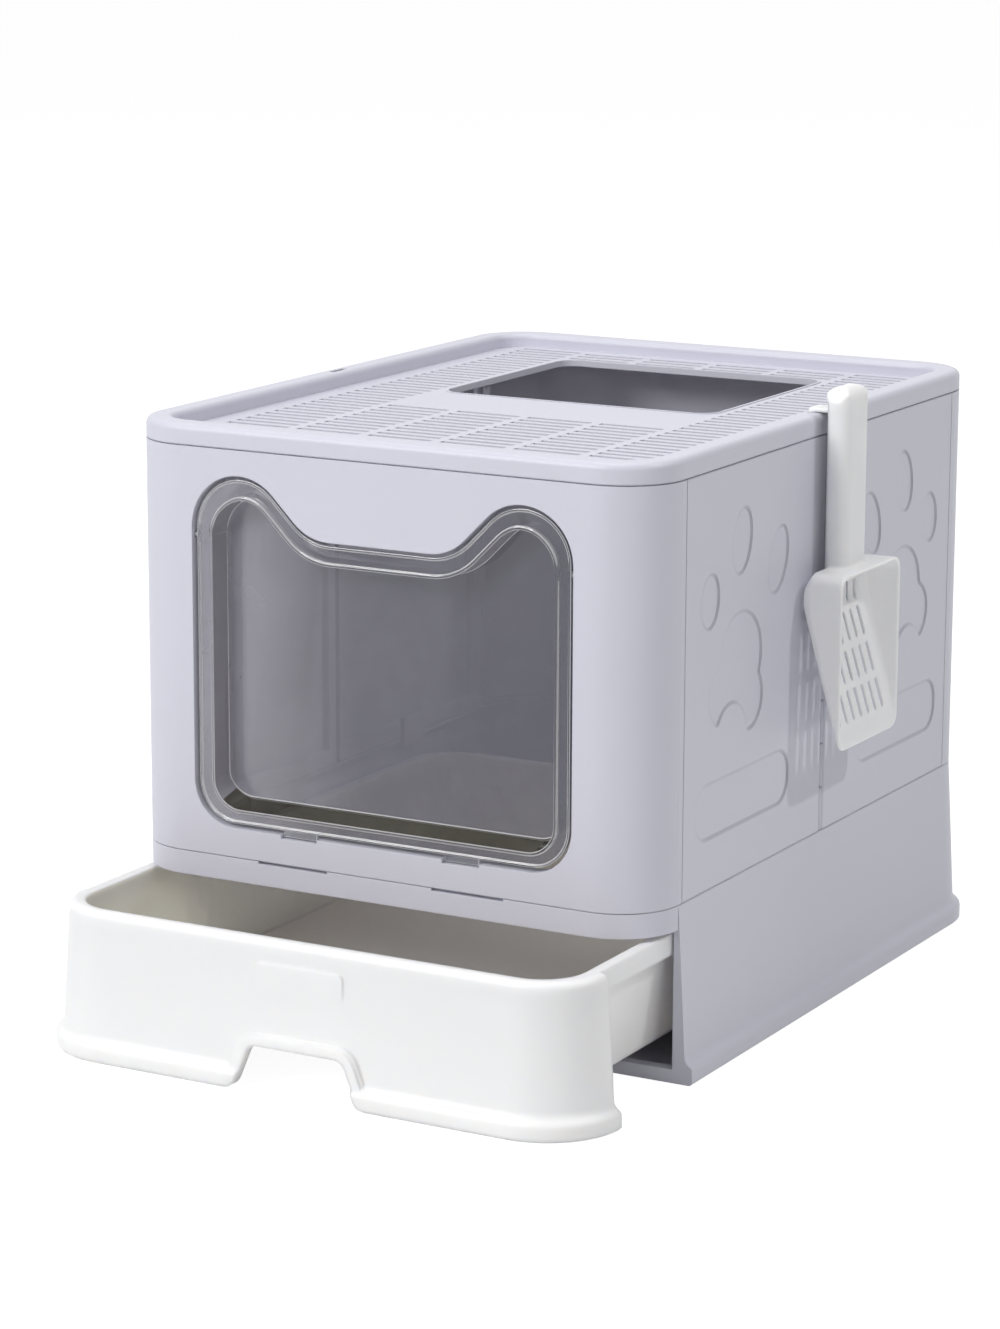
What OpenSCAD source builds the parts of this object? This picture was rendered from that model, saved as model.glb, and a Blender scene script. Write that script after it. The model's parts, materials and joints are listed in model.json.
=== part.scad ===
// Folding cat litter box: a base with a pull-out litter drawer, walls that fold
// inwards on upright pins, a clear swing door, a slotted lid with a way in, and a
// scoop that hangs on the lid. Front is -Y, up is +Z, the base stands on Z = 0.

/* [Body] */
// Width across the walls
body_w = 387; // [370:1:400]
// Depth from the front face to the rear face
body_d = 509; // [480:1:530]
// Radius of the four upright corners
corner_r = 42; // [38:1:46]
// Distance from the front or rear face to the upright seam behind it
seam_in = 46.5; // [46.5:0.5:52]
// Thickness of a wall's skin
skin_t = 3; // [2.6:0.1:3.4]
// Thickness of a folding wall along its edges
edge_t = 8; // [7.6:0.1:8.8]
// Width of the thick edge of a folding wall
edge_w = 12; // [10:1:16]
// Height of the folding walls
wall_h = 270; // [262:1:280]
// Gap at an upright seam
seam_gap = 0.6; // [0.4:0.1:1]
// Running gap above and below the folding walls
run_gap = 0.4; // [0.3:0.05:0.6]

/* [Hinges] */
// Knuckles along one upright hinge
knuckles = 9; // [5:2:11]
// Radius of a corner hinge pin
corner_pin_r = 1.5; // [1.3:0.05:1.5]
// Radius of a fold hinge pin
fold_pin_r = 0.9; // [0.8:0.05:1.1]
// Gap between a pin and its bore
pin_gap = 0.15; // [0.1:0.05:0.2]
// Wall of a corner knuckle around its bore
knuckle_wall = 1.2; // [1:0.1:1.3]
// Wall of a fold knuckle around its bore
fold_wall = 0.9; // [0.8:0.1:1.1]
// Farthest turn of a folding wall from its upright place, in degrees
fold_max = 60; // [40:1:61]

/* [Base] */
// Height of the base up to the seam of the walls
base_h = 117; // [112:1:122]
// Height of the crosspiece above the drawer
lintel_h = 16; // [14:1:17]
// Spread of the base wall from the seam down to the foot bead
flare = 5.5; // [4:0.5:7]
// Height of the foot bead
bead_h = 14; // [12:1:16]
// Stand-out of the foot bead from the wall above it
bead_out = 5.5; // [4:0.5:6.5]
// Thickness of the base's floor
floor_t = 3; // [2.5:0.1:3.5]
// Height of the sill in front of the floor
sill_h = 9; // [7:1:11]
// Thickness of a drawer runner
runner_w = 4; // [3:0.5:6]
// Distance of a drawer runner from the centre line
runner_x = 120; // [100:1:140]

/* [Drawer] */
// How far the drawer is pulled out
drawer_out = 95; // [60:1:150]
// Height of the drawer's rim
drawer_h = 98; // [95:0.5:98.5]
// Height of the pan's underside
pan_z = 22; // [20:0.5:24]
// Clearance between the drawer's flange and the base wall
drawer_gap = 1.5; // [1:0.1:2]
// Width of the rim
rim_w = 8; // [7:0.5:9]
// Depth of the turned-down flange
flange_h = 14; // [10:1:18]
// Wall of the drawer
pan_wall = 2.5; // [2:0.1:3]
// Inward slope of the pan wall from rim to floor
pan_draft = 11.5; // [8:0.5:14]
// Radius of the pan's corners at the rim
pan_r = 30; // [26:1:34]
// Distance from the pan's rear flange to the base's rear wall
rear_gap = 11; // [8:1:16]
// Width of the finger cut-out at its top
grip_w = 68; // [60:1:80]
// Height of the finger cut-out
grip_h = 30; // [26:1:32]
// Spread of each side of the finger cut-out
grip_spread = 12; // [8:1:16]
// Width of the bare plate on the drawer front
plate_w = 64; // [50:1:80]
// Height of the bare plate
plate_h = 20; // [16:1:24]

/* [Door] */
// Width of the door opening
door_w = 279; // [268:1:282]
// Height of the opening's lower edge above the base seam
door_low = 20; // [16:1:24]
// Height of the opening from its lower edge to the ear tops
door_rise = 233; // [225:1:236]
// Drop from the ear tops to the valley between them
valley_drop = 37; // [32:1:42]
// Radius of an ear
ear_r = 36; // [33:1:38]
// Radius of the opening's lower corners
door_r = 30; // [24:1:36]
// Radius of the bend where an ear meets the valley
valley_r = 36; // [28:1:40]
// Gap round the door
door_gap = 2.6; // [2:0.1:3]
// Width of the door's flange
door_flange = 8; // [6:0.5:10]
// Thickness of the door
door_t = 2.2; // [1.8:0.1:2.6]
// Depth of the dished pane behind the flange
dish = 20; // [14:1:22]
// Depth of the collar round the opening
collar_d = 11; // [10:0.5:13]
// Set-back of the door's lips from the front face
door_set = 2; // [1:0.5:3]
// Stand-out of the raised lips along both edges of the door's flange
door_lip = 1; // [0.6:0.1:1.4]
// Width of the outer lip
door_lip_w = 1.8; // [1.4:0.1:2.4]
// Radius of a door pivot
pivot_r = 2; // [1.6:0.1:2.2]
// Drop of the pivot line below the valley
pivot_drop = 4; // [3:0.5:6]
// Distance of a bottom catch from the centre line
catch_x = 60; // [50:1:75]
// Width of a bottom catch
catch_w = 25; // [18:1:30]

/* [Lid] */
// Height of the lid above the wall seam
lid_h = 14; // [12:0.5:16]
// Width of the lid's raised rim
lid_rim = 18; // [16:0.5:22]
// Depth of the slotted plate below the rim
lid_sink = 10; // [8:0.5:10.5]
// Thickness of the slotted plate
lid_t = 3; // [2.5:0.1:3]
// Rounding of the lid's upper edges
lid_round = 5; // [3:0.5:5.5]
// Width of the way in
hatch_w = 208; // [190:1:212]
// Depth of the way in
hatch_d = 182; // [150:1:184]
// Distance of the way in from the plate's rear edge
hatch_back = 48; // [44:1:52]
// Plain landing in front of the way in
landing = 66; // [56:1:80]
// Spacing of the ribs between slot columns
rib_pitch = 54; // [52:1:55]
// Width of a rib between slot columns
rib_w = 7; // [5:0.5:12]
// Spacing of the slots
slot_pitch = 11.6; // [10:0.2:14]
// Width of a slot
slot_w = 5; // [3:0.5:6]
// Length of the scoop slot in the rim
hook_slot_l = 18; // [14:1:22]
// Width of the scoop slot in the rim
hook_slot_w = 4; // [3.6:0.1:5]

/* [Scoop] */
// Width of the scoop's handle
handle_w = 38; // [34:1:40]
// Depth of the scoop's handle
handle_d = 18.5; // [17:0.5:20]
// Top of the handle above the lid
handle_rise = 19; // [14:1:24]
// Length of the handle down to the pan
handle_l = 125; // [110:1:140]
// Gap between the scoop and the wall
scoop_gap = 3.5; // [2:0.5:6]
// Width of the scoop's mouth
mouth_w = 95; // [84:1:104]
// Length of the scoop's pan
scoop_l = 117; // [108:1:130]
// Depth of the scoop's pan below the handle
scoop_d = 30; // [26:1:36]
// Wall of the scoop
scoop_t = 2.2; // [1.8:0.1:2.6]

/* [Paw relief] */
// Depth of the relief in the side walls
relief = 0.9; // [0.5:0.1:1.4]
// Width of the relief's sloping edge
relief_slope = 2.4; // [1:0.1:3]
// Distance of the paw's pad from the fold line
paw_y = 121; // [110:1:130]
// Height of the pad above the base seam
paw_z = 138; // [130:1:145]
// Length of the long recess below the paw
bar_l = 138; // [120:1:150]
// Height of the long recess
bar_h = 37; // [30:1:42]
// Height of the long recess above the base seam
bar_z = 33; // [28:1:40]

/* [Hidden] */
$fn = 64;

grey = [0.80, 0.80, 0.85];
white = [0.95, 0.95, 0.96];
steel = [0.70, 0.71, 0.73];
smoke = [0.35, 0.35, 0.40, 0.55];

half_w = body_w / 2;
half_d = body_d / 2;
core_x = half_w - corner_r;          // centres of the upright corners
core_y = half_d - corner_r;
wall_top = base_h + wall_h;
lid_top = wall_top + lid_h;
hinge_y = half_d - seam_in;          // the upright seams

// Knuckle radii, and where the hinge axes lie in the wall
corner_k = corner_pin_r + pin_gap + knuckle_wall;
fold_k = fold_pin_r + pin_gap + fold_wall;
cover_t = 2.2;                       // skin over a corner hinge
air = 0.3;                           // gap between parts that pass each other
corner_x = half_w - cover_t - air - corner_k;
fold_x = half_w - fold_k - 0.1;
panel_z = base_h + run_gap;
panel_h = wall_h - 2 * run_gap;
knuckle_l = panel_h / knuckles;
knuckle_gap = 0.5;
ledge_w = edge_t;                    // the walls stand on a ledge of the base
post_gap = 0.4;                      // between a knuckle and the wall beside it
hook_w = 30;                         // hooks that stand behind the base's ledge
hook_h = 22;
hook_wall = 2.5;
hook_down = 7;
rear_hook_x = 100;

// Drawer and base
lintel_z = base_h - lintel_h;
base_in = half_w - skin_t;           // inner face of the base wall
flange_x = base_in - drawer_gap;     // outer face of the drawer's flange
pan_x = flange_x - rim_w;            // inner edge of the rim
pan_front = half_d - 7;
pan_rear = half_d - skin_t - rear_gap - rim_w;
bead_step = 1.5;
bead_r = 4;                          // rounding of the foot bead
seam_cut = 0.8;                      // bevel along the level seams
tab_x = 65;                          // the front panel's tabs in the crosspiece
tab_w = 52;
tab_t = 2.4;
tab_h = 10;
nail_h = 1.6;                        // finger-nail gaps in the seam over the tabs
sill_d = 8;
front_gap = 0.8;                     // between the drawer's front and the base wall
lip_w = 9;                           // raised lip round the finger cut-out
lip_slope = 2.2;                     // width of the lip's step
lip_out = 2.6;                       // its stand-out from the foot of the front
plate_z = 74;                        // middle of the bare plate
plate_out = 2.6;
front_round = 4.5;                   // rounding of the front's upper edge

// Door
door_z0 = base_h + door_low;
door_z1 = door_z0 + door_rise;
valley_z = door_z1 - valley_drop;
ear_z = door_z1 - ear_r;
ear_x = door_w / 2 - ear_r;
pivot_z = valley_z - pivot_drop;
pivot_y = door_set + 3;              // behind the front face
pivot_l = 6;
boss_l = 5.6;                        // sockets round the pivots
boss_wall = 2.4;
root_w = 6;                          // raised root of a pivot on the flange
root_h = 9;
catch_out = 1.4;                     // drop of a catch below the opening

// Lid
plate_top = lid_top - lid_sink;
plate_x = half_w - lid_rim;
plate_y = half_d - lid_rim;
plate_r = corner_r - lid_rim;
hatch_y1 = plate_y - hatch_back;
hatch_y0 = hatch_y1 - hatch_d;
hook_x = half_w - lid_rim / 2 - 1;
locate_l = 260;                      // lip behind the front panel's top edge
locate_t = 2.4;
locate_drop = 7;
hatch_r = 14;
hatch_lip = 2;                       // turned edge of the way in

relief_steps = 2;

// Scoop
handle_round = handle_d / 2 - 0.5;   // edges of the handle
handle_top_r = 13;                   // corners of its top end
handle_cap = 10;                     // solid top end
handle_foot = 6;                     // length of the handle inside the pan
hook_t = 3;
hook_drop = 6;
sift_rows = 4;                       // slots in the scoop's floor
sift_side = 3;                       // columns on each side of the middle one
sift_pitch = 11.5;
sift_w = 3.6;
sift_l = 19;
sift_step = 24;                      // from row to row

// Points along an arc from angle a0 to a1
function arc(cx, cy, r, a0, a1, n = 6) =
    [for (i = [0:n]) let (a = a0 + (a1 - a0) * i / n) [cx + r * cos(a), cy + r * sin(a)]];

// Distance of the base's outer face from a corner centre at height z
function base_out(z) = corner_r + flare * (base_h - z) / (base_h - bead_h);

// ---------------------------------------------------------------- sweeps

// One upright corner of a profile drawn as [distance from the corner centre, height]
module sweep_corner(x, y, turn) {
    translate([x, y, 0])
        rotate([0, 0, turn])
            rotate_extrude(angle = 90)
                children();
}

// A straight run of the same profile, facing +X before it is turned
module sweep_run(x, y, turn, len) {
    translate([x, y, 0])
        rotate([0, 0, turn])
            translate([0, len / 2, 0])
                rotate([90, 0, 0])
                    linear_extrude(len)
                        children();
}

// Front face and both front corners
module sweep_front(cx, cy) {
    sweep_run(0, -cy, -90, 2 * cx) children();
    sweep_corner(cx, -cy, -90) children();
    sweep_corner(-cx, -cy, 180) children();
}

// The whole way round
module sweep_round(cx, cy) {
    sweep_front(cx, cy) children();
    mirror([0, 1, 0])
        sweep_front(cx, cy)
            children();
    sweep_run(cx, 0, 0, 2 * cy) children();
    sweep_run(-cx, 0, 180, 2 * cy) children();
}

module rounded(w, d, r) {
    offset(r = r)
        square([w - 2 * r, d - 2 * r], center = true);
}

// ---------------------------------------------------------------- hinges

// Every second knuckle of an upright hinge, bored for its pin
module knuckle_row(x, y, r, bore, phase) {
    for (i = [phase:2:knuckles - 1]) {
        translate([x, y, panel_z + i * knuckle_l + knuckle_gap / 2])
            difference() {
                cylinder(r = r, h = knuckle_l - knuckle_gap);
                translate([0, 0, -1])
                    cylinder(r = bore, h = knuckle_l + 2);
            }
    }
}

// Webs that join the same knuckles to their wall, which lies towards dir
module web_row(x, y, x0, x1, reach, bore, phase, dir) {
    for (i = [phase:2:knuckles - 1]) {
        translate([0, 0, panel_z + i * knuckle_l + knuckle_gap / 2])
            difference() {
                translate([x + x0, y + (dir > 0 ? bore : -reach), 0])
                    cube([x1 - x0, reach - bore, knuckle_l - knuckle_gap]);
                translate([x, y, -1])
                    cylinder(r = bore, h = knuckle_l + 2);
            }
    }
}

module corner_knuckles(y, phase, dir) {
    bore = corner_pin_r + pin_gap;
    knuckle_row(corner_x, y, corner_k, bore, phase);
    web_row(corner_x, y, half_w - edge_t - corner_x, corner_k - 0.4,
            corner_k + 1, bore, phase, dir);
}

module fold_knuckles(phase, dir) {
    bore = fold_pin_r + pin_gap;
    knuckle_row(fold_x, 0, fold_k, bore, phase);
    web_row(fold_x, 0, -fold_k, fold_k * 0.4, fold_k + 1, bore, phase, dir);
}

module pin(x, y, r) {
    color(steel)
        translate([x, y, panel_z])
            cylinder(r = r, h = panel_h);
}

// ---------------------------------------------------------------- base

// Outer face of the foot bead, from its hollow top edge down to the ground
function bead_edge() =
    let (x = base_out(bead_h), r = 2 * (bead_out - bead_r / 2),
         end_x = x + bead_out - bead_r, end_z = bead_h - bead_r - 1)
    concat(arc(x + r, end_z + (bead_r + r) * sin(60), r, 180, 240),
           arc(end_x, end_z, bead_r, 60, 0),
           [[x + bead_out, bead_step], [x + bead_out - bead_step, 0]]);

// Base wall: an upright inner skin and a flared outer skin, open between them below
module base_wall_outline() {
    polygon(concat(
        [[corner_r - skin_t, 0], [corner_r - skin_t, base_h],
         [corner_r - seam_cut, base_h], [base_out(base_h - seam_cut), base_h - seam_cut]],
        bead_edge()));
}

module base_wall_void() {
    top = base_h - (base_h - bead_h) * (skin_t - 0.5) / flare;
    polygon([[corner_r - 0.5, -1], [corner_r - 0.5, max(top, bead_h + 2)],
             [base_out(bead_h) - skin_t, bead_h],
             [base_out(bead_h) + 1, bead_h - 5],
             [base_out(bead_h) + 1, -1]]);
}

module base_wall_profile() {
    difference() {
        base_wall_outline();
        base_wall_void();
    }
    translate([corner_r - ledge_w, base_h - skin_t])
        square([ledge_w - 1, skin_t]);
}

module lintel_profile() {
    polygon([[corner_r - skin_t, lintel_z], [corner_r - skin_t, base_h],
             [corner_r - seam_cut, base_h], [corner_r, base_h - seam_cut],
             [corner_r, lintel_z]]);
    translate([corner_r - ledge_w, base_h - skin_t])
        square([ledge_w, skin_t]);
}

// Slots in the crosspiece that take the front panel's tabs
module tab_slots(grow) {
    for (s = [-1, 1]) {
        translate([s * tab_x - tab_w / 2 - grow, -half_d + skin_t + 0.6 - grow,
                   base_h - tab_h - grow])
            cube([tab_w + 2 * grow, tab_t + 2 * grow, tab_h + 4 + grow]);
    }
}

module base_shell() {
    run_l = 2 * core_y;
    color(grey)
    difference() {
        union() {
            mirror([0, 1, 0])
                sweep_front(core_x, core_y)
                    base_wall_profile();
            sweep_run(core_x, 0, 0, run_l) base_wall_profile();
            sweep_run(-core_x, 0, 180, run_l) base_wall_profile();
            sweep_front(core_x, core_y) lintel_profile();
            for (s = [0, 180]) {
                rotate([0, 0, s])
                    translate([core_x, s == 0 ? -core_y : core_y - skin_t, 0])
                        translate([0, skin_t, 0])
                            rotate([90, 0, 0])
                                linear_extrude(skin_t)
                                    base_wall_outline();
            }
            // Floor, sill and runners
            linear_extrude(floor_t)
                intersection() {
                    rounded(2 * base_in + 1, 2 * (half_d - skin_t) + 1, corner_r - skin_t);
                    translate([-body_w, -core_y])
                        square([2 * body_w, body_d]);
                }
            translate([-base_in - 0.5, -core_y, 0])
                cube([2 * base_in + 1, sill_d, sill_h]);
            for (s = [-1, 1]) {
                translate([s * runner_x - runner_w / 2, -core_y, 0])
                    cube([runner_w, core_y + half_d - skin_t + 0.5, pan_z - air]);
            }
        }
        tab_slots(air);
        for (s = [-1, 1]) {
            translate([s * tab_x - tab_w / 2, -half_d - 1, base_h - nail_h])
                cube([tab_w, skin_t + 3, 2 * nail_h]);
        }
    }
}

// ---------------------------------------------------------------- front and rear

// Door opening: a square-set window with two ear arches and a valley between them
module door_shape() {
    reach = ear_r * cos(45);
    bend_x = ear_x - 2 * reach - ear_z + valley_z - valley_r * tan(22.5);
    half = concat(
        arc(door_w / 2 - door_r, door_z0 + door_r, door_r, -90, 0, 16),
        arc(ear_x, ear_z, ear_r, 0, 135, 24),
        arc(bend_x, valley_z + valley_r, valley_r, -45, -90, 8));
    last = len(half) - 1;
    polygon(concat(half, [for (i = [0:last]) [-half[last - i][0], half[last - i][1]]]));
}

// Lays a front view on the front face and gives it depth towards the rear
module from_front(set, depth) {
    translate([0, -half_d + set + depth, 0])
        rotate([90, 0, 0])
            linear_extrude(depth)
                children();
}

module skin_profile() {
    translate([corner_r - skin_t, panel_z])
        square([skin_t, panel_h]);
}

module edge_profile() {
    for (z = [panel_z, wall_top - run_gap - skin_t]) {
        translate([corner_r - edge_t, z])
            square([edge_t - 1, skin_t]);
    }
}

// Wall end between a corner and the seam; the seam lies at -hinge_y
module wing() {
    len = core_y - hinge_y;
    post = corner_k + post_gap;
    translate([half_w - skin_t, -core_y - 0.01, panel_z])
        cube([skin_t, len - post + 0.02, panel_h]);
    translate([half_w - cover_t, -core_y - 0.01, panel_z])
        cube([cover_t, len + 0.01 - seam_gap / 2, panel_h]);
    translate([half_w - edge_t, -hinge_y - post - skin_t, panel_z])
        cube([edge_t, skin_t, panel_h]);
}

// Front or rear shell without its openings; turned by the caller
module end_shell(phase) {
    difference() {
        union() {
            sweep_front(core_x, core_y) skin_profile();
            sweep_front(core_x, core_y) edge_profile();
        }
        for (s = [0, 1]) {
            mirror([s, 0, 0])
                translate([corner_x, -hinge_y, panel_z - 1])
                    cylinder(r = corner_k + post_gap, h = panel_h + 2);
        }
    }
    for (s = [0, 1]) {
        mirror([s, 0, 0]) {
            wing();
            corner_knuckles(-hinge_y, phase, -1);
        }
    }
}

module front_panel() {
    color(grey) {
        difference() {
            union() {
                difference() {
                    end_shell(1);
                    from_front(-1, edge_t + 2) door_shape();
                }
                from_front(0, collar_d)
                    difference() {
                        offset(delta = skin_t) door_shape();
                        door_shape();
                    }
                for (s = [-1, 1]) {
                    translate([s * (door_w / 2 + boss_l / 2 + 0.8), -half_d + pivot_y, pivot_z])
                        rotate([0, 90, 0])
                            cylinder(r = pivot_r + boss_wall, h = boss_l, center = true);
                }
            }
            // Pivot sockets
            translate([-door_w / 2 - pivot_l, -half_d + pivot_y, pivot_z])
                rotate([0, 90, 0])
                    cylinder(r = pivot_r + pin_gap, h = door_w + 2 * pivot_l);
            // Notches for the door's bottom catches
            for (s = [-1, 1]) {
                translate([s * catch_x - catch_w / 2 - 1, -half_d - 1, door_z0 - catch_out - 1])
                    cube([catch_w + 2, collar_d - 3, catch_out + 4]);
            }
        }
        tab_bodies();
    }
}

module tab_bodies() {
    for (s = [-1, 1]) {
        translate([s * tab_x - tab_w / 2, -half_d + skin_t + 0.6, base_h - tab_h])
            cube([tab_w, tab_t, tab_h + 2]);
    }
}

// Hook behind the base's ledge on a wall whose outer face is at +Y; reach joins them
module wall_hook(reach) {
    back = -edge_t - air - hook_wall;
    translate([-hook_w / 2, back, base_h - hook_down])
        cube([hook_w, hook_wall, hook_h]);
    translate([-hook_w / 2, back, panel_z])
        cube([hook_w, reach - back - edge_t, hook_h - hook_down]);
}

module rear_panel() {
    color(grey) {
        mirror([0, 1, 0])
            end_shell(1);
        for (s = [-1, 1]) {
            translate([s * rear_hook_x, half_d, 0])
                wall_hook(edge_t - skin_t / 2);
        }
    }
}

// ---------------------------------------------------------------- side walls

module toe(w, h, tilt) {
    rotate(tilt)
        polygon([for (a = [0:10:350]) [w / 2 * cos(a), h / 2 * sin(a)]]);
}

// Paw pad, its notch pointing down before it is turned
module pad_shape() {
    $fn = 40;
    offset(r = -5)
        offset(delta = 5)
            offset(r = 4)
                offset(delta = -4)
                    difference() {
                        union() {
                            translate([0, 9]) circle(r = 31);
                            translate([-19, -16]) circle(r = 21);
                            translate([19, -16]) circle(r = 21);
                        }
                        translate([0, -42]) circle(r = 22);
                    }
}

// Paw and long bar, seen from outside with the fold line at 0 and forwards negative
module relief_shape() {
    translate([-paw_y, paw_z]) {
        translate([-9, -4]) rotate(-14) pad_shape();
        translate([-52, 49]) toe(26, 36, -8);
        translate([-7, 81]) toe(28, 44, -12);
        translate([47, 60]) toe(28, 46, -20);
    }
    translate([-bar_l / 2 - 53, bar_z + bar_h / 2])
        rounded(bar_l, bar_h, bar_h * 0.45);
}

// Plan of a half wall between its corner hinge and the fold line
module half_plan() {
    post = corner_k + post_gap;
    fold_post = fold_k + post_gap;
    groove = (half_w - fold_x) * tan(fold_max);
    polygon([[half_w, -hinge_y + seam_gap / 2],
             [half_w, -groove - air],
             [fold_x + fold_post / tan(fold_max) - air, -fold_post],
             [half_w - edge_t, -fold_post],
             [half_w - edge_t, -hinge_y + post],
             [half_w - cover_t, -hinge_y + post],
             [half_w - cover_t, -hinge_y + seam_gap / 2]]);
}

module half_wall(fold_phase) {
    color(grey) {
        difference() {
            translate([0, 0, panel_z])
                linear_extrude(panel_h)
                    half_plan();
            // Pocket inside the thick edge
            translate([half_w - edge_t - 1, -hinge_y + edge_w, panel_z + edge_w])
                cube([edge_t - skin_t + 1, hinge_y - 2 * edge_w, panel_h - 2 * edge_w]);
            for (i = [0:relief_steps - 1]) {
                translate([half_w - relief * (i + 1) / relief_steps, 0, base_h])
                    rotate([90, 0, 90])
                        linear_extrude(relief + 1)
                            offset(delta = -relief_slope * i / relief_steps)
                                relief_shape();
            }
        }
        corner_knuckles(-hinge_y, 0, 1);
        fold_knuckles(fold_phase, -1);
        translate([half_w, -hinge_y / 2, 0])
            rotate([0, 0, -90])
                wall_hook(1);
    }
}

module right_front_panel() half_wall(0);

module right_rear_panel() mirror([0, 1, 0]) half_wall(1);

module left_front_panel() mirror([1, 0, 0]) half_wall(0);

module left_rear_panel() mirror([1, 0, 0]) mirror([0, 1, 0]) half_wall(1);

// ---------------------------------------------------------------- lid

// Rim of the lid: outer skirt, rounded top and the drop to the plate
module lid_profile() {
    inner = corner_r - lid_rim;
    polygon(concat(
        [[corner_r - seam_cut, wall_top], [corner_r, wall_top + seam_cut]],
        arc(corner_r - lid_round, lid_top - lid_round, lid_round, 0, 90),
        arc(inner + lid_round - 1, lid_top - lid_round + 1, lid_round - 1, 90, 180),
        [[inner, plate_top - lid_t], [inner + skin_t, plate_top - lid_t],
         [inner + skin_t, lid_top - skin_t],
         [corner_r - skin_t, lid_top - skin_t], [corner_r - skin_t, wall_top]]));
}

// Slots of one column between two ribs, from y0 back to y1
module slot_column(x0, x1, y0, y1) {
    for (y = [y0:slot_pitch:y1 - slot_w]) {
        translate([x0, y, plate_top - lid_t - 1])
            cube([x1 - x0, slot_w, lid_t + 2]);
    }
}

module lid_slots() {
    front = -plate_y + rib_w;
    land = hatch_y0 - landing;
    side_x = 2 * rib_pitch;
    side_end = min(3 * rib_pitch, plate_x) - rib_w / 2;
    for (i = [-2:1]) {
        slot_column(i * rib_pitch + rib_w / 2, (i + 1) * rib_pitch - rib_w / 2, front, land);
        slot_column(i * rib_pitch + rib_w / 2, (i + 1) * rib_pitch - rib_w / 2,
                    hatch_y1 + rib_w, plate_y - rib_w / 2);
    }
    for (s = [0, 1]) {
        mirror([s, 0, 0])
            slot_column(side_x + rib_w / 2, side_end, front, plate_y - rib_w);
    }
}

module lid() {
    color(grey) {
        difference() {
            union() {
                sweep_round(core_x, core_y) lid_profile();
                translate([0, 0, plate_top - lid_t])
                    linear_extrude(lid_t)
                        rounded(2 * plate_x + 1, 2 * plate_y + 1, plate_r);
            }
            lid_slots();
            translate([0, (hatch_y0 + hatch_y1) / 2, plate_top - lid_t - 1])
                linear_extrude(lid_t + 2)
                    rounded(hatch_w, hatch_d, hatch_r);
            for (s = [-1, 1]) {
                translate([s * hook_x - hook_slot_w / 2, -hook_slot_l / 2, lid_top - skin_t - 1])
                    cube([hook_slot_w, hook_slot_l, skin_t + 2]);
            }
        }
        // Turned edge of the way in
        translate([0, (hatch_y0 + hatch_y1) / 2, wall_top])
            linear_extrude(plate_top + 0.6 - wall_top)
                difference() {
                    rounded(hatch_w + 2 * hatch_lip, hatch_d + 2 * hatch_lip, hatch_r + hatch_lip);
                    rounded(hatch_w, hatch_d, hatch_r);
                }
        // Lip that drops behind the front panel
        translate([-locate_l / 2, -half_d + edge_t + air, wall_top - locate_drop])
            cube([locate_l, locate_t, locate_drop + lid_h - skin_t / 2]);
    }
}

// ---------------------------------------------------------------- door

module front_door() {
    color(smoke) {
        from_front(door_set + door_lip, door_t)
            difference() {
                offset(delta = -door_gap) door_shape();
                offset(delta = -door_gap - door_flange) door_shape();
            }
        from_front(door_set, door_lip + door_t / 2)
            difference() {
                offset(delta = -door_gap) door_shape();
                offset(delta = -door_gap - door_lip_w) door_shape();
            }
        from_front(door_set, dish)
            difference() {
                offset(delta = -door_gap - door_flange + door_t) door_shape();
                offset(delta = -door_gap - door_flange) door_shape();
            }
        from_front(door_set + dish - door_t, door_t)
            offset(delta = -door_gap - door_flange + door_t / 2) door_shape();
        // Pivots with their roots on the flange, and bottom catches
        for (s = [-1, 1]) {
            translate([s * (door_w / 2 - door_gap - root_w / 2), -half_d + door_set, pivot_z])
                translate([-root_w / 2, 0, -root_h / 2])
                    cube([root_w, door_lip + door_t / 2, root_h]);
            translate([s * (door_w / 2 + 1 - door_gap / 2), -half_d + pivot_y, pivot_z])
                rotate([0, 90, 0])
                    cylinder(r = pivot_r, h = pivot_l + door_gap, center = true);
            translate([s * catch_x - catch_w / 2, -half_d + door_set, door_z0 - catch_out])
                cube([catch_w, door_t, catch_out + door_gap + 1.6]);
        }
    }
}

// ---------------------------------------------------------------- drawer

// Flared front of the drawer, in line with the base wall
module fascia_outline() {
    top_out = base_out(drawer_h);
    shelf_in = top_out - front_round - 2;
    polygon(concat(
        [[base_out(bead_h) - skin_t, 0], [top_out - skin_t, drawer_h - skin_t - 4],
         [shelf_in, drawer_h - skin_t], [shelf_in, drawer_h]],
        arc(top_out - front_round, drawer_h - front_round, front_round, 90, 0),
        bead_edge()));
}

module pan_wall_profile() {
    polygon([[pan_r, drawer_h], [pan_r - pan_draft, pan_z + pan_wall],
             [pan_r - pan_draft, pan_z],
             [pan_r - pan_draft + pan_wall, pan_z], [pan_r + pan_wall, drawer_h]]);
}

module grip_shape() {
    half = grip_w / 2;
    offset(r = -10)
        offset(delta = 10)
            offset(r = 8)
                offset(delta = -8)
                    polygon([[-half, grip_h], [half, grip_h], [half + grip_spread, 0],
                             [half + grip_spread + 60, 0], [half + grip_spread + 60, -40],
                             [-half - grip_spread - 60, -40], [-half - grip_spread - 60, 0],
                             [-half - grip_spread, 0]]);
}

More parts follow.
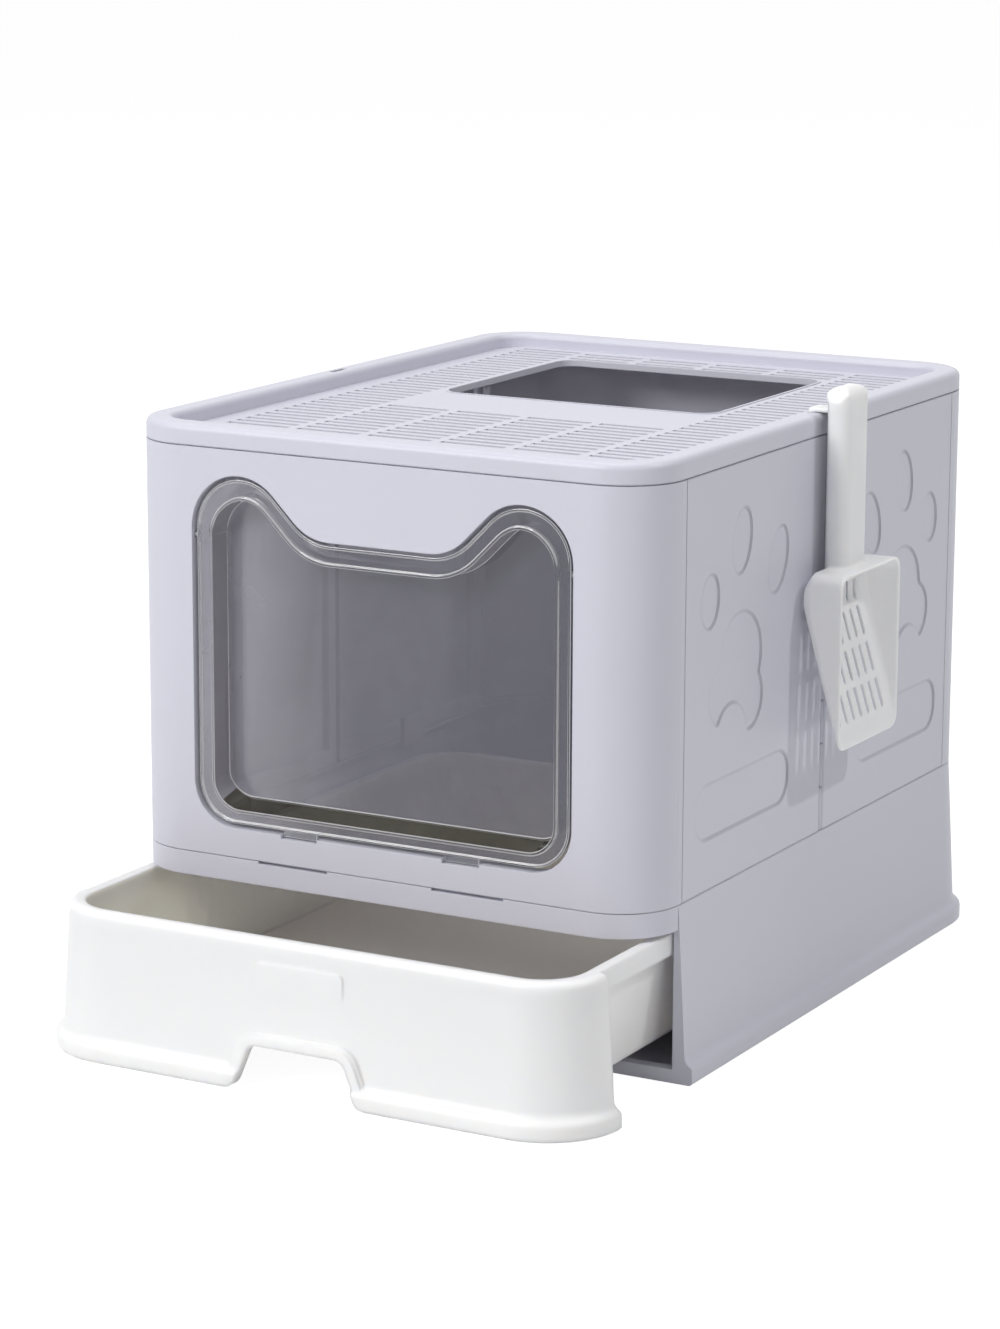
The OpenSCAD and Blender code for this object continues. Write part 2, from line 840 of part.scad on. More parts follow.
// Curved front of the drawer, with the finger cut-out and its raised lip
module drawer_front() {
    difference() {
        union() {
            sweep_front(core_x, core_y) fascia_outline();
            intersection() {
                for (i = [1:2]) {
                    from_front(corner_r - base_out(bead_h) - lip_out * i / 2, skin_t + 1)
                        offset(r = lip_w + lip_slope * (1 - i))
                            grip_shape();
                }
                translate([-body_w / 2, -body_d, bead_h - 4])
                    cube([body_w, body_d, grip_h + lip_w]);
            }
        }
        translate([-body_w, -core_y - front_gap, -1])
            cube([2 * body_w, core_y, drawer_h + 2]);
        from_front(-20, 40) grip_shape();
    }
}

// Plan of the pan's flange behind the drawer's front, drawn inwards by inset
module flange_plan(inset) {
    rear = pan_rear + rim_w - inset;
    r = pan_r + rim_w - inset;
    intersection() {
        translate([0, rear - body_d / 2])
            rounded(2 * (flange_x - inset), body_d, r);
        translate([-body_w, -core_y - 1])
            square([2 * body_w, body_d]);
    }
}

// Flat rim round the pan, from the drawer's front to its rear flange
module drawer_rim() {
    rim_r = corner_r - front_round;
    translate([0, 0, drawer_h - skin_t])
        linear_extrude(skin_t)
            difference() {
                union() {
                    intersection() {
                        translate([0, -core_y])
                            rounded(2 * (core_x + rim_r), 2 * rim_r, rim_r - 0.01);
                        translate([-body_w, -core_y - front_gap - rim_r])
                            square([2 * body_w, rim_r]);
                    }
                    flange_plan(0);
                }
                translate([0, (pan_rear - pan_front) / 2])
                    rounded(2 * pan_x, pan_front + pan_rear, pan_r);
            }
}

module litter_drawer() {
    pan_cx = pan_x - pan_r;
    pan_mid = (pan_rear - pan_front) / 2;
    pan_cy = (pan_rear + pan_front) / 2 - pan_r;
    floor_in = pan_draft - pan_wall;
    color(white)
    translate([0, -drawer_out, 0]) {
        drawer_front();
        drawer_rim();
        // Pan
        translate([0, pan_mid, 0]) {
            sweep_round(pan_cx, pan_cy) pan_wall_profile();
            translate([0, 0, pan_z])
                linear_extrude(pan_wall)
                    rounded(2 * (pan_x - floor_in), pan_front + pan_rear - 2 * floor_in,
                            pan_r - floor_in);
        }
        // Turned-down flange
        translate([0, 0, drawer_h - flange_h])
            linear_extrude(flange_h)
                difference() {
                    flange_plan(0);
                    flange_plan(pan_wall);
                }
        // Bare plate on the front
        translate([0, -half_d - 0.2, plate_z])
            rotate([90, 0, 0])
                linear_extrude(plate_out)
                    rounded(plate_w, plate_h, 5);
    }
}

// ---------------------------------------------------------------- scoop

// Handle: a channel with rounded edges that is open towards the wall
module scoop_handle(back, top, low) {
    mid = (top + low) / 2 - handle_foot / 2;
    tall = top - low + handle_foot;
    open_d = handle_d + 10;
    difference() {
        intersection() {
            translate([back + handle_d / 2, 0, low - handle_foot])
                linear_extrude(tall)
                    rounded(handle_d, handle_w, handle_round);
            translate([back - 1, 0, mid])
                rotate([90, 0, 90])
                    linear_extrude(handle_d + 2)
                        rounded(handle_w, tall, handle_top_r);
            translate([back + handle_d / 2, handle_w / 2 + 1, mid])
                rotate([90, 0, 0])
                    linear_extrude(handle_w + 2)
                        rounded(handle_d, tall, handle_round);
        }
        translate([back + handle_d - scoop_t - open_d / 2, 0, low])
            linear_extrude(top - low - handle_cap)
                rounded(open_d, handle_w - 2 * scoop_t, handle_round - scoop_t);
    }
}

module scoop() {
    back = half_w + scoop_gap;
    top = lid_top + handle_rise;
    low = top - handle_l;
    tab_x0 = hook_x - hook_slot_w / 2 + air;
    tab_l = hook_slot_l - 2;
    color(white) {
        scoop_handle(back, top, low);
        // Hook over the rim, with a tab that drops into the slot
        translate([tab_x0, -tab_l / 2, lid_top + air])
            cube([back + handle_d - scoop_t / 2 - tab_x0, tab_l, hook_t]);
        translate([tab_x0, -tab_l / 2, lid_top - hook_drop])
            cube([hook_slot_w - 2 * air, tab_l, hook_drop + hook_t]);
        scoop_pan(back, low);
    }
}

// A slab across the scoop centred on height z, from x to x + d
module scoop_slab(x, d, z, w, h) {
    translate([x, 0, z])
        rotate([90, 0, 90])
            linear_extrude(d)
                rounded(w, h, min(9, h / 2 - 0.1), $fn = 32);
}

// The scoop's pan as a solid, drawn inwards by inset
module scoop_body(back, low, inset) {
    mouth_x = back + scoop_d;
    mid = low - scoop_l / 2 + handle_foot;
    hull() {
        scoop_slab(mouth_x - (inset > 0 ? 1 : 2), 2, mid, mouth_w - 2 * inset, scoop_l - 2 * inset);
        scoop_slab(back + 6 + inset, 1, low - 11, mouth_w * 0.96 - 2 * inset, 34 - 2 * inset);
        scoop_slab(back + inset, 1, low - 12, mouth_w * 0.9 - 2 * inset, 20 - 2 * inset);
    }
}

module scoop_pan(back, low) {
    difference() {
        scoop_body(back, low, 0);
        scoop_body(back, low, scoop_t);
        for (row = [1:sift_rows]) {
            for (i = [-sift_side:sift_side]) {
                translate([back - 5, i * sift_pitch - sift_w / 2, low - row * sift_step])
                    cube([scoop_d + 2, sift_w, sift_l]);
            }
        }
    }
}

// ---------------------------------------------------------------- pins

module front_right_hinge_pin() pin(corner_x, -hinge_y, corner_pin_r);

module front_left_hinge_pin() pin(-corner_x, -hinge_y, corner_pin_r);

module rear_right_hinge_pin() pin(corner_x, hinge_y, corner_pin_r);

module rear_left_hinge_pin() pin(-corner_x, hinge_y, corner_pin_r);

module right_fold_pin() pin(fold_x, 0, fold_pin_r);

module left_fold_pin() pin(-fold_x, 0, fold_pin_r);

base_shell();
front_panel();
right_front_panel();
right_rear_panel();
left_front_panel();
left_rear_panel();
rear_panel();
front_right_hinge_pin();
front_left_hinge_pin();
rear_right_hinge_pin();
rear_left_hinge_pin();
right_fold_pin();
left_fold_pin();
lid();
front_door();
litter_drawer();
scoop();
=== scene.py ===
"""Looks of the drawer litter box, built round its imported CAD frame, in metres."""

import json
import math

import bmesh
import bpy
from mathutils import Matrix, Vector
from mathutils.kdtree import KDTree


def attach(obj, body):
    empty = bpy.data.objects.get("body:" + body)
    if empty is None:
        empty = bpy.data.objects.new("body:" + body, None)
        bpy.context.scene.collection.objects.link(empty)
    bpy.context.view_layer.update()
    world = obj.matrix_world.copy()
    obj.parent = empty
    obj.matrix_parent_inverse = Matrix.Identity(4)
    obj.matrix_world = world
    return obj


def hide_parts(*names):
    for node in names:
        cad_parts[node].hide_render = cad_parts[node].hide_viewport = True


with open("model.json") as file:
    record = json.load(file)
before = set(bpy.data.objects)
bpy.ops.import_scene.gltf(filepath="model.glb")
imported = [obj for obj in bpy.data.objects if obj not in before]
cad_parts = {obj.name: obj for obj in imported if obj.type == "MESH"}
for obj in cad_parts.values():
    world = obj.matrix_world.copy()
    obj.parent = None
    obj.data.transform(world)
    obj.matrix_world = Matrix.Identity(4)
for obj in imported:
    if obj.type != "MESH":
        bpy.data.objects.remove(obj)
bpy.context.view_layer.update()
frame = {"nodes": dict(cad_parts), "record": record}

# ------------------------------------------------------------------ camera

CAM_AZ = 29.0585        # degrees round the object
CAM_EL = 12.4072        # degrees above the horizon
CAM_ROLL = 0.2047       # degrees
CAM_AT = (1.2668, -2.3754, 0.8019)
CAM_LENS = 108.23       # for the sensor along the picture's long side
CAM_SENSOR = 36
CAM_REACH = 50          # how far it sees


def add_camera():
    a, e, r = (math.radians(v) for v in (CAM_AZ, CAM_EL, CAM_ROLL))
    back = Vector((math.sin(a) * math.cos(e), -math.cos(a) * math.cos(e), math.sin(e)))
    right = (-back).cross(Vector((0, 0, 1))).normalized()
    up = right.cross(-back)
    right_r = right * math.cos(r) + up * math.sin(r)
    up_r = -right * math.sin(r) + up * math.cos(r)
    data = bpy.data.cameras.new("camera")
    data.lens = CAM_LENS
    data.sensor_width = CAM_SENSOR
    data.clip_end = CAM_REACH
    cam = bpy.data.objects.new("camera", data)
    bpy.context.scene.collection.objects.link(cam)
    rows = [[right_r[i], up_r[i], back[i], CAM_AT[i]] for i in range(3)]
    cam.matrix_world = Matrix(rows + [[0, 0, 0, 1]])
    bpy.context.scene.camera = cam


# ------------------------------------------------------------------ node trees

MIX_A, MIX_B, MIX_OUT = 6, 7, 2     # the colour sockets of a Mix node


def srgb(r, g, b):
    """Shader colour of an 8-bit screen colour."""
    out = []
    for v in (r, g, b):
        v /= 255
        out.append(v / 12.92 if v <= 0.04045 else ((v + 0.055) / 1.055) ** 2.4)
    return (*out, 1)


def scaled(colour, gain):
    return (*(min(1, c * gain) for c in colour[:3]), 1)


def node(tree, kind, **values):
    """Adds a node; each value goes to its property or to its input of that name."""
    n = tree.nodes.new(kind)
    for key, value in values.items():
        if hasattr(n, key):
            setattr(n, key, value)
        else:
            n.inputs[key].default_value = value
    return n


def feed(tree, value, socket):
    """Links a socket to an input, or sets the input to a plain value."""
    if isinstance(value, bpy.types.NodeSocket):
        tree.links.new(value, socket)
    else:
        socket.default_value = value


def operate(tree, operation, first, second, kind="ShaderNodeMath", **values):
    n = node(tree, kind, operation=operation, **values)
    feed(tree, first, n.inputs[0])
    feed(tree, second, n.inputs[1])
    return n.outputs


def map_range(tree, value, start, end, low=0.0, high=1.0, **values):
    """Maps a value from start .. end to low .. high."""
    n = node(tree, "ShaderNodeMapRange", **values)
    tree.links.new(value, n.inputs["Value"])
    for key, limit in (("From Min", start), ("From Max", end), ("To Min", low), ("To Max", high)):
        n.inputs[key].default_value = limit
    return n.outputs["Result"]


def mix_colours(tree, share, first, second, blend="MIX"):
    mix = node(tree, "ShaderNodeMix", data_type="RGBA", blend_type=blend)
    tree.links.new(share, mix.inputs[0])
    feed(tree, first, mix.inputs[MIX_A])
    feed(tree, second, mix.inputs[MIX_B])
    return mix.outputs[MIX_OUT]


def mix_shaders(tree, share, first, second):
    mix = node(tree, "ShaderNodeMixShader")
    for socket, value in zip(mix.inputs, (share, first, second)):
        tree.links.new(value, socket)
    return mix.outputs[0]


def split(tree, vector):
    n = node(tree, "ShaderNodeSeparateXYZ")
    tree.links.new(vector, n.inputs[0])
    return n.outputs


def new_material(name):
    mat = bpy.data.materials.new(name)
    mat.use_nodes = True
    return mat, mat.node_tree


# ------------------------------------------------------------------ materials

EDGE = 0.0011           # radius of a moulded edge
EDGE_SAMPLES = 4
GRAIN_SCALE = 1400.0    # spark grain of the moulds
GRAIN_DETAIL = 2.0
GRAIN_DEPTH = 0.0004
SHADE_SCALE = 6.0       # slow variation of shade and sheen
SHADE_DETAIL = 3.0
SHADE_TINT = 0.03       # lighter and darker by this share
SHEEN_LESS = 0.05       # roughness goes down and up by these
SHEEN_MORE = 0.06

CLOUD_SCALE = 9.0       # clouds in the clear plastic
CLOUD_DETAIL = 4.0
CLOUD_ROUGH = 0.6
CLOUD_RANGE = (0.3, 0.7)
WAVE = 0.05             # waviness of its skin
WAVE_DEPTH = 0.002
PANE_SHADE_SPAN = (-0.12, -0.02)   # from left to right between these, the pane's body darkens and its haze grows: painted light at left, painted shade at right

# the drawer's pan gets painted shade: warm on its inner walls, darker on its floor
PAN_MIDDLE = (0, -0.105, 0)
PAN_FLOOR_Z = 0.0245
PAN_FLOOR_FADE = (0.006, 0.001)     # heights over the floor where its painted shade sets in and is full
INWARD = (-0.03, -0.08)             # how far a face looks to the pan's middle, likewise
FACES_UP = 0.9          # least upward part of the normal of the floor
MILKY_RADIUS = (1.0, 0.95, 0.88)    # red wanders farther in white plastic


def moulded(name, colour, rough, grain=0.04, soft=EDGE):
    """Moulded plastic: soft edges, fine spark grain, slow variation of shade and sheen."""
    mat, tree = new_material(name)
    bsdf = tree.nodes["Principled BSDF"]
    bsdf.inputs["Base Color"].default_value = colour
    bsdf.inputs["Roughness"].default_value = rough
    place = node(tree, "ShaderNodeTexCoord").outputs["Object"]
    slow = node(tree, "ShaderNodeTexNoise", Scale=SHADE_SCALE, Detail=SHADE_DETAIL)
    fine = node(tree, "ShaderNodeTexNoise", Scale=GRAIN_SCALE, Detail=GRAIN_DETAIL)
    tree.links.new(place, slow.inputs["Vector"])
    tree.links.new(place, fine.inputs["Vector"])
    level = slow.outputs["Fac"]
    shade = mix_colours(tree, level, scaled(colour, 1 - SHADE_TINT), scaled(colour, 1 + SHADE_TINT))
    tree.links.new(shade, bsdf.inputs["Base Color"])
    sheen = map_range(tree, level, 0, 1, rough - SHEEN_LESS, rough + SHEEN_MORE)
    tree.links.new(sheen, bsdf.inputs["Roughness"])
    bump = node(tree, "ShaderNodeBump", Strength=grain, Distance=GRAIN_DEPTH)
    tree.links.new(fine.outputs["Fac"], bump.inputs["Height"])
    if soft:
        edge = node(tree, "ShaderNodeBevel", samples=EDGE_SAMPLES, Radius=soft)
        tree.links.new(edge.outputs[0], bump.inputs["Normal"])
    tree.links.new(bump.outputs[0], bsdf.inputs["Normal"])
    return mat


def gloss_over(tree, under, rough, ior, normal):
    """Clear reflection by Fresnel over another shader."""
    shine = node(tree, "ShaderNodeBsdfGlossy", Roughness=rough, Color=(1, 1, 1, 1))
    edge = node(tree, "ShaderNodeFresnel", IOR=ior)
    tree.links.new(normal, shine.inputs["Normal"])
    tree.links.new(normal, edge.inputs["Normal"])
    return mix_shaders(tree, edge.outputs[0], under, shine.outputs[0])


def clear(name, tint, body, haze, rough=0.05, cloud=0.0, right=None, ior=1.5):
    """Clear plastic: tint is what one face lets through, haze the share that is solid body.

    right is the darker body and the denser haze of the right half, where they differ: painted shade
    there, against the lighter body at the left.
    """
    mat, tree = new_material(name)
    tree.nodes.remove(tree.nodes["Principled BSDF"])
    through = node(tree, "ShaderNodeBsdfTransparent", Color=tint)
    solid = node(tree, "ShaderNodeBsdfDiffuse", Color=body)
    place = node(tree, "ShaderNodeTexCoord").outputs["Object"]
    slow = node(tree, "ShaderNodeTexNoise", Scale=CLOUD_SCALE, Detail=CLOUD_DETAIL,
                Roughness=CLOUD_ROUGH)
    tree.links.new(place, slow.inputs["Vector"])
    share = map_range(tree, slow.outputs["Fac"], *CLOUD_RANGE, haze * (1 - cloud),
                      haze * (1 + cloud))
    # painted light and shade: towards the right the body turns darker and the haze denser
    if right:
        shaded_body, shaded_haze = right
        toward_shade = map_range(tree, split(tree, place)[0], *PANE_SHADE_SPAN, interpolation_type="SMOOTHSTEP")
        tree.links.new(mix_colours(tree, toward_shade, body, shaded_body), solid.inputs["Color"])
        gain = map_range(tree, toward_shade, 0, 1, 1, shaded_haze / haze)
        share = operate(tree, "MULTIPLY", share, gain)[0]
    mix = mix_shaders(tree, share, through.outputs[0], solid.outputs[0])
    wave = node(tree, "ShaderNodeBump", Strength=WAVE, Distance=WAVE_DEPTH)
    tree.links.new(slow.outputs["Fac"], wave.inputs["Height"])
    over = gloss_over(tree, mix, rough, ior, wave.outputs[0])
    tree.links.new(over, tree.nodes["Material Output"].inputs[0])
    return mat


def paint_pan_shade(mat, wall_shade, floor_shade):
    """Paints shade into the drawer's pan: a warm tint on the faces that look into it, by their
    normal, and a darker one on its floor.
    """
    tree = mat.node_tree
    place = node(tree, "ShaderNodeTexCoord").outputs
    vector = "ShaderNodeVectorMath"
    flat = operate(tree, "MULTIPLY", place["Normal"], (1, 1, 0), vector)[0]
    from_middle = operate(tree, "SUBTRACT", place["Object"], PAN_MIDDLE, vector)[0]
    facing = operate(tree, "DOT_PRODUCT", flat, from_middle, vector)["Value"]
    inward = map_range(tree, facing, *INWARD)
    height = split(tree, place["Object"])[2]
    low = map_range(tree, height, *(PAN_FLOOR_Z + v for v in PAN_FLOOR_FADE))
    upward = operate(tree, "GREATER_THAN", split(tree, place["Normal"])[2], FACES_UP)[0]
    on_floor = operate(tree, "MULTIPLY", low, upward)[0]
    colour = tree.nodes["Principled BSDF"].inputs["Base Color"]
    shade = colour.links[0].from_socket
    for mask, tint in ((inward, wall_shade), (on_floor, floor_shade)):
        shade = mix_colours(tree, mask, shade, tint, blend="MULTIPLY")
    tree.links.new(shade, colour)


def milky(mat, depth):
    """Lets light wander inside the plastic, as in white polypropylene."""
    bsdf = mat.node_tree.nodes["Principled BSDF"]
    bsdf.inputs["Subsurface Weight"].default_value = 1.0
    bsdf.inputs["Subsurface Radius"].default_value = MILKY_RADIUS
    bsdf.inputs["Subsurface Scale"].default_value = depth


def brushed(name):
    mat = moulded(name, srgb(176, 178, 184), 0.32, grain=0.1, soft=0)
    mat.node_tree.nodes["Principled BSDF"].inputs["Metallic"].default_value = 1.0
    return mat


BOX_GREY = srgb(206, 206, 218)
GREY = moulded("grey_plastic", BOX_GREY, 0.42)
WALL_GREY = moulded("wall_grey", BOX_GREY, 0.42, soft=2 * EDGE)
WHITE = moulded("white_plastic", srgb(240, 240, 241), 0.36)
# the pane: its light body at left and dark body at right are painted light and shade
SMOKE = clear("smoked_plastic", (0.78, 0.78, 0.8, 1), srgb(190, 188, 200), 0.33,
              cloud=0.3, right=(srgb(105, 104, 119), 0.38))
# painted highlight: a bright, half-solid copy of the smoked plastic for the door's rounded lips,
# pivots and catches
SMOKE_HIGHLIGHT = clear("smoked_highlight", (0.9, 0.9, 0.92, 1), srgb(250, 250, 252), 0.45)
# painted light: a lighter, more solid copy of the smoked plastic for the dish's walls, over the
# shade seen through them
SMOKE_WALL_PAINTED_LIGHT = clear("smoked_wall_painted_light", (0.92, 0.92, 0.93, 1), srgb(165, 163, 172), 0.6,
                   rough=0.3)
# painted shade: a dark, dense copy of the smoked plastic for the dish's lower wall
SMOKE_PAINTED_SHADE = clear("smoked_painted_shade", (0.62, 0.62, 0.6, 1), srgb(96, 92, 82), 0.3,
                   rough=0.12, cloud=0.5, ior=1.2)
SCOOP_WHITE = moulded("scoop_white", srgb(250, 250, 251), 0.34, soft=0)
DRAWER_WHITE = moulded("drawer_white", srgb(253, 252, 253), 0.36, soft=3 * EDGE)
# painted shade inside the drawer's pan: warm on the walls, darker on the floor
paint_pan_shade(DRAWER_WHITE, (1.0, 0.94, 0.83, 1), (0.84, 0.785, 0.7, 1))
milky(DRAWER_WHITE, 0.005)
milky(SCOOP_WHITE, 0.004)
STEEL = brushed("pin_steel")

LOOKS = {"grey_plastic": GREY, "white_plastic": WHITE, "smoked_plastic": SMOKE, "pin_steel": STEEL}
OWN_LOOKS = {"litter_drawer": DRAWER_WHITE}
for half in ("right_front", "right_rear", "left_front", "left_rear"):
    OWN_LOOKS[half + "_panel"] = WALL_GREY


def dress(obj, *mats):
    obj.data.materials.clear()
    for mat in mats:
        obj.data.materials.append(mat)


def dress_frame():
    slots = {p["node"]: p["material_slot"] for p in frame["record"]["subparts"]}
    for name, obj in frame["nodes"].items():
        look = OWN_LOOKS.get(name, LOOKS[slots[name]])
        for slot in obj.material_slots:
            slot.material = look


# ------------------------------------------------------------------ pieces

ROOT_X = 0.12           # the door's pivot roots lie outside of this
PIVOT_X = 0.1305        # its pivots start here
PIVOT_Z = 0.329
PIVOT_R = 0.006
PIVOT_COLLAR = 0.002    # the roots end this far past the pivots' start
CATCH_Z = 0.1395        # its bottom catches lie below this
DISH_FRONT = -0.249     # the dish's walls lie between these
DISH_BACK = -0.2372
DISH_LOW = 0.165        # the dish's lower wall lies below this
DISH_LEVEL = 0.7        # and has at least this upright part in its normal
DISH_SLOPE = 0.005      # the lower wall climbs by this towards the pane
DISH_CORNER = 0.04      # the slope dies out over this height
RIM_SIDE = 0.0035       # the clear rim round the dish grows inwards by these
RIM_FOOT = 0.0015
RIM_TOP = 0.0055
RIM_SIDE_FROM = 0.085   # the growth at the sides sets in between these half widths
RIM_SIDE_FULL = 0.12
RIM_TOP_FROM = 0.26     # the growth at the top sets in between these heights
RIM_TOP_FULL = 0.315
SAME_PLACE = 0.0002     # points nearer than this lie behind each other
DOOR_WELD = 0.00025     # the door's points nearer than this become one
DOOR_SMOOTH = 20        # degrees between faces that are shaded as one
LIP_TURN = math.radians(35)     # an edge that turns by more than this is rounded
LIP_ROUND = 0.0005      # by this
LIP_STEPS = 2
# the door's materials: the pane, the lips with painted highlight, the dish walls with painted
# light, and the dish's lower wall with painted shade
PANE, LIP, WALL, PAINTED_SHADE = range(4)    # the door's materials
DOOR_LOOKS = (SMOKE, SMOKE_HIGHLIGHT, SMOKE_WALL_PAINTED_LIGHT, SMOKE_PAINTED_SHADE)

WELD = 1e-5             # points of a CAD mesh nearer than this are one
FLAT = math.radians(0.5)        # faces that turn by less than this are one
NO_LENGTH = 1e-6        # edges shorter than this go
SCOOP_VOXEL = 0.0008    # the scoop's new skin
SCOOP_SOFT = 0.5        # softened by this in each of the passes
SCOOP_PASSES = 8
SCOOP_KEEP = 0.35       # the share of its faces that stays
SCOOP_SMOOTH = 60


def copy_node(name, piece, body, weld=WELD):
    """A mesh copy of a CAD node, welded and with its flat faces whole, that stands for it."""
    obj = bpy.data.objects.new(piece, frame["nodes"][name].data.copy())
    bpy.context.scene.collection.objects.link(obj)
    bm = bmesh.new()
    bm.from_mesh(obj.data)
    bmesh.ops.remove_doubles(bm, verts=bm.verts, dist=weld)
    bmesh.ops.dissolve_limit(bm, angle_limit=FLAT, verts=bm.verts, edges=bm.edges)
    bm.to_mesh(obj.data)
    bm.free()
    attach(obj, body)
    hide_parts(name)
    return obj


def apply_all(obj):
    """Turns the piece and its modifiers into plain geometry."""
    graph = bpy.context.evaluated_depsgraph_get()
    mesh = bpy.data.meshes.new_from_object(obj.evaluated_get(graph))
    obj.modifiers.clear()
    obj.data = mesh


def smooth(obj, degrees):
    for face in obj.data.polygons:
        face.use_smooth = True
    obj.data.set_sharp_from_angle(angle=math.radians(degrees))


def ease(value, start, end):
    """0 before start, 1 past end, and a soft climb between them."""
    share = min(1.0, max(0.0, (value - start) / (end - start)))
    return share * share * (3 - 2 * share)


def at_height_of_pivot(vert):
    return abs(vert.co.z - PIVOT_Z) < PIVOT_R


def shape_dish(mesh):
    """Draws the dish in, so that its rim is broader, and slopes its lower wall."""
    pane = [v for v in mesh.vertices if v.co.y > DISH_BACK]
    foot = min(v.co.z for v in pane)
    places = KDTree(len(pane))
    for i, v in enumerate(pane):
        places.insert((v.co.x, 0, v.co.z), i)
    places.balance()
    for v in mesh.vertices:
        off = places.find((v.co.x, 0, v.co.z))[2]
        half = abs(v.co.x)
        inset = math.copysign(RIM_SIDE * ease(half, RIM_SIDE_FROM, RIM_SIDE_FULL), v.co.x)
        if off > SAME_PLACE:
            if at_height_of_pivot(v) and ROOT_X < half < PIVOT_X + PIVOT_COLLAR:
                v.co.x -= inset
            continue
        low = 1 - ease(v.co.z - foot, 0, DISH_CORNER)
        high = ease(v.co.z, RIM_TOP_FROM, RIM_TOP_FULL)
        v.co.x -= inset
        v.co.z += RIM_FOOT * low - RIM_TOP * high
        if v.co.y > DISH_BACK:
            v.co.z += DISH_SLOPE * low


def round_lips(mesh):
    """Rounds every edge of the door except the short ones at the pivots' roots, and gives the
    rounded strips the lip material, a painted highlight.
    """
    bm = bmesh.new()
    bm.from_mesh(mesh)
    edges = []
    for edge in bm.edges:
        at_root = all(at_height_of_pivot(v) and abs(v.co.x) > ROOT_X for v in edge.verts)
        if edge.is_manifold and edge.calc_face_angle() > LIP_TURN and not at_root:
            edges.append(edge)
    bmesh.ops.bevel(bm, geom=edges, offset=LIP_ROUND, segments=LIP_STEPS, profile=0.5,
                    affect="EDGES", material=LIP, clamp_overlap=False)
    bmesh.ops.dissolve_degenerate(bm, dist=NO_LENGTH, edges=bm.edges)
    bm.to_mesh(mesh)
    bm.free()


def make_door():
    """Door with rounded edges along every lip, painted bright as highlights, and with painted light
    and shade on the walls of its dish.
    """
    door = copy_node("front_door", "clear_door", "door", weld=DOOR_WELD)
    shape_dish(door.data)
    dress(door, *DOOR_LOOKS)
    for face in door.data.polygons:
        at = face.center
        # painted glints: the pivots and the bottom catches also get the lip's painted highlight
        on_pivot = abs(at.x) > PIVOT_X and abs(at.z - PIVOT_Z) < PIVOT_R
        if on_pivot or at.z < CATCH_Z:
            face.material_index = LIP
    round_lips(door.data)
    smooth(door, DOOR_SMOOTH)
    for face in door.data.polygons:
        at = face.center
        # the dish's lower wall gets painted shade, its other walls the copy with painted light
        if DISH_FRONT < at.y < DISH_BACK:
            low = abs(face.normal.z) > DISH_LEVEL and at.z < DISH_LOW
            face.material_index = PAINTED_SHADE if low else WALL


def make_scoop():
    """Scoop with the soft, flowing edges of a moulded piece."""
    scoop = copy_node("scoop", "moulded_scoop", "scoop")
    remesh = scoop.modifiers.new("skin", "REMESH")
    remesh.mode = "VOXEL"
    remesh.voxel_size = SCOOP_VOXEL
    soft = scoop.modifiers.new("soft", "SMOOTH")
    soft.factor = SCOOP_SOFT
    soft.iterations = SCOOP_PASSES
    fewer = scoop.modifiers.new("fewer", "DECIMATE")
    fewer.ratio = SCOOP_KEEP
    apply_all(scoop)
    smooth(scoop, SCOOP_SMOOTH)
    dress(scoop, SCOOP_WHITE)


# ------------------------------------------------------------------ room

WORLD_LIGHT = 0.16      # light from all round
FLOOR_SIZE = 60
FLOOR_Z = -0.0005
FLOOR_PLAIN = 0.8       # the floor as the object sees it
FLOOR_DIM = 0.34        # as the camera sees it: this much lit by the lamps,
FLOOR_GLOW = 0.93       # and this much glow
LAMPS = {               # place, aim, side, watts
    "key": ((-1.4, -3.0, 2.4), (0, 0, 0.2), 1.8, 97),
    "top": ((-0.2, 0.2, 3.2), (0, 0, 0.3), 2.2, 38),
    "side": ((2.1, 0.35, 2.5), (0.1, 0, 0.25), 0.12, 20),
    "fill": ((2.3, -1.7, 1.5), (0, -0.2, 0.15), 0.9, 7.5),
}


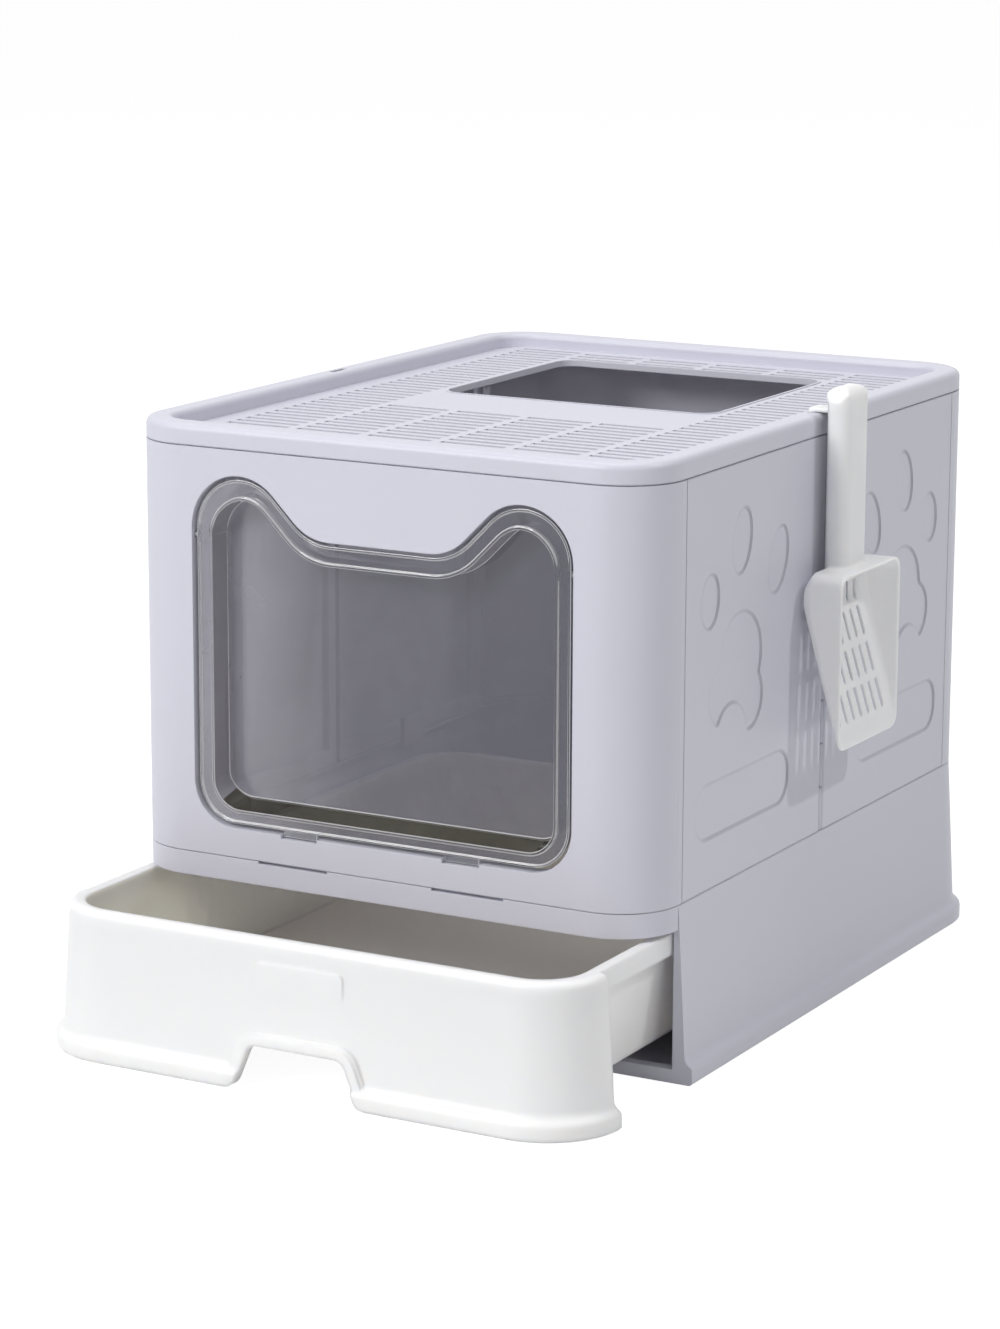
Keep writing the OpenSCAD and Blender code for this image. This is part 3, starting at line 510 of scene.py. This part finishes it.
def add_lamp(name, at, aim, side, power):
    data = bpy.data.lights.new(name, "AREA")
    data.shape = "SQUARE"
    data.size = side
    data.energy = power
    obj = bpy.data.objects.new(name, data)
    obj.location = at
    obj.rotation_euler = (Vector(aim) - Vector(at)).to_track_quat("-Z", "Y").to_euler()
    bpy.context.scene.collection.objects.link(obj)


def seen_ray(tree):
    """1 for rays that show the background: straight, mirrored or let through."""
    path = node(tree, "ShaderNodeLightPath").outputs
    total = path["Is Camera Ray"]
    for kind in ("Is Glossy Ray", "Is Transmission Ray"):
        total = operate(tree, "ADD", total, path[kind], use_clamp=True)[0]
    return total


def floor_look():
    """White floor that glows to white for the camera and keeps a soft shadow."""
    mat, tree = new_material("floor_white")
    tree.nodes.remove(tree.nodes["Principled BSDF"])
    plain, dim = (node(tree, "ShaderNodeBsdfDiffuse", Color=(v, v, v, 1))
                  for v in (FLOOR_PLAIN, FLOOR_DIM))
    glow = node(tree, "ShaderNodeEmission", Strength=FLOOR_GLOW)
    both = node(tree, "ShaderNodeAddShader")
    tree.links.new(dim.outputs[0], both.inputs[0])
    tree.links.new(glow.outputs[0], both.inputs[1])
    pick = mix_shaders(tree, seen_ray(tree), plain.outputs[0], both.outputs[0])
    tree.links.new(pick, tree.nodes["Material Output"].inputs[0])
    return mat


def add_world():
    """Plain white for the camera, and a low even light for the object."""
    world = bpy.data.worlds.new("world")
    bpy.context.scene.world = world
    world.use_nodes = True
    tree = world.node_tree
    back = tree.nodes["Background"]
    back.inputs["Color"].default_value = (1, 1, 1, 1)
    tree.links.new(map_range(tree, seen_ray(tree), 0, 1, WORLD_LIGHT), back.inputs["Strength"])


def add_room():
    bpy.ops.mesh.primitive_plane_add(size=FLOOR_SIZE, location=(0, 0, FLOOR_Z))
    floor = bpy.context.object
    floor.name = "floor"
    dress(floor, floor_look())
    add_world()
    for name, values in LAMPS.items():
        add_lamp(name, *values)
    bpy.context.scene.view_settings.view_transform = "Standard"


add_camera()
dress_frame()
make_door()
make_scoop()
add_room()


def write_sizes():
    def plain(bounds):
        return [[float(v) for v in corner] for corner in bounds]


write_sizes()
